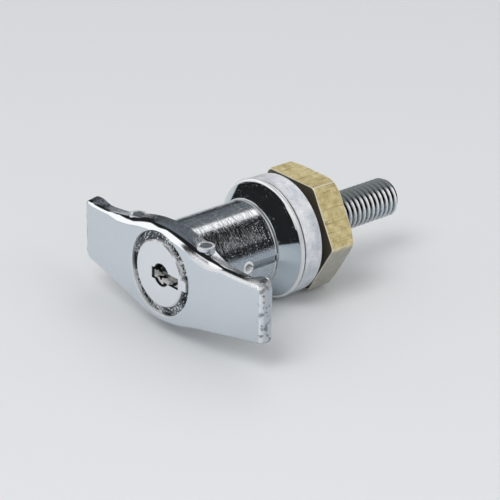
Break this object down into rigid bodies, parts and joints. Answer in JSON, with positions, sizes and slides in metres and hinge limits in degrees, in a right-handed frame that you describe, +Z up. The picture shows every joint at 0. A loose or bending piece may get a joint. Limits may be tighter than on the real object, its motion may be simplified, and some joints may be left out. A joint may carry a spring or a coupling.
{
  "type": "wing knob handle lock",
  "caption": "Key-locked wing handle for a cabinet door: bowed wing on a round neck, cone flange, spacer ring, hexagon nut and threaded stud.",
  "frame": {"origin": "on the lock's axis, in the plane where the flange seats on the door", "axes": "+Y along the lock's axis from the wing to the stud, X along the wing when the handle is closed, +Z up"},
  "size_m": [0.051, 0.0596, 0.024],
  "materials": {
    "chrome_casting": "satin",
    "polished_chrome": "polished",
    "raw_casting": "matte",
    "nut_brass": "satin",
    "wafer_brass": "satin",
    "zinc_steel": "satin",
    "spring_steel": "satin",
    "seal_rubber": "matte"
  },
  "bodies": {
    "housing_side": {"housing": "polished_chrome", "flange_gasket": "seal_rubber", "spacer_ring": "raw_casting", "hex_nut": "nut_brass"},
    "handle": {"handle_casting": "chrome_casting", "lock_insert_body": "polished_chrome", "insert_retaining_ring": "spring_steel", "spindle": "zinc_steel", "roll_pin": "zinc_steel", "spindle_seal": "seal_rubber", "thrust_washer": "zinc_steel", "spindle_retaining_ring": "spring_steel", "threaded_stud": "zinc_steel"},
    "plug": {"key_plug": "chrome_casting", "plug_clip": "spring_steel", "drive_pin": "zinc_steel", "wafer_spring_1": "spring_steel", "wafer_spring_2": "spring_steel", "wafer_spring_3": "spring_steel", "wafer_spring_4": "spring_steel", "wafer_spring_5": "spring_steel"},
    "bolt": {"locking_bolt": "zinc_steel"},
    "wafer_one": {"wafer_1": "wafer_brass"},
    "wafer_two": {"wafer_2": "wafer_brass"},
    "wafer_three": {"wafer_3": "wafer_brass"},
    "wafer_four": {"wafer_4": "wafer_brass"},
    "wafer_five": {"wafer_5": "wafer_brass"}
  },
  "joints": [
    {"name": "handle_turn", "type": "hinge", "parent": "housing_side", "child": "handle", "pos_m": [0, 0, 0], "axis": [0, 1, 0], "range_deg": [0, 90]},
    {"name": "key_turn", "type": "hinge", "parent": "handle", "child": "plug", "pos_m": [0, -0.0261, 0], "axis": [0, 1, 0], "range_deg": [0, 90]},
    {"name": "bolt_slide", "type": "slide", "parent": "handle", "child": "bolt", "axis": [0, 0, -1], "range_m": [0, 0.0012]},
    {"name": "wafer_one_slide", "type": "slide", "parent": "plug", "child": "wafer_one", "axis": [1, 0, 0], "range_m": [0, 0.0005], "deforming": ["wafer_spring_1"]},
    {"name": "wafer_two_slide", "type": "slide", "parent": "plug", "child": "wafer_two", "axis": [1, 0, 0], "range_m": [0, 0.0005], "deforming": ["wafer_spring_2"]},
    {"name": "wafer_three_slide", "type": "slide", "parent": "plug", "child": "wafer_three", "axis": [1, 0, 0], "range_m": [0, 0.0005], "deforming": ["wafer_spring_3"]},
    {"name": "wafer_four_slide", "type": "slide", "parent": "plug", "child": "wafer_four", "axis": [1, 0, 0], "range_m": [0, 0.0005], "deforming": ["wafer_spring_4"]},
    {"name": "wafer_five_slide", "type": "slide", "parent": "plug", "child": "wafer_five", "axis": [1, 0, 0], "range_m": [0, 0.0005], "deforming": ["wafer_spring_5"]}
  ],
  "couplings": [
    {"joint": "bolt_slide", "follows": "key_turn", "m_per_rad": 0.00076394},
    {"joint": "wafer_two_slide", "follows": "wafer_one_slide", "ratio": 1},
    {"joint": "wafer_three_slide", "follows": "wafer_one_slide", "ratio": 1},
    {"joint": "wafer_four_slide", "follows": "wafer_one_slide", "ratio": 1},
    {"joint": "wafer_five_slide", "follows": "wafer_one_slide", "ratio": 1}
  ]
}
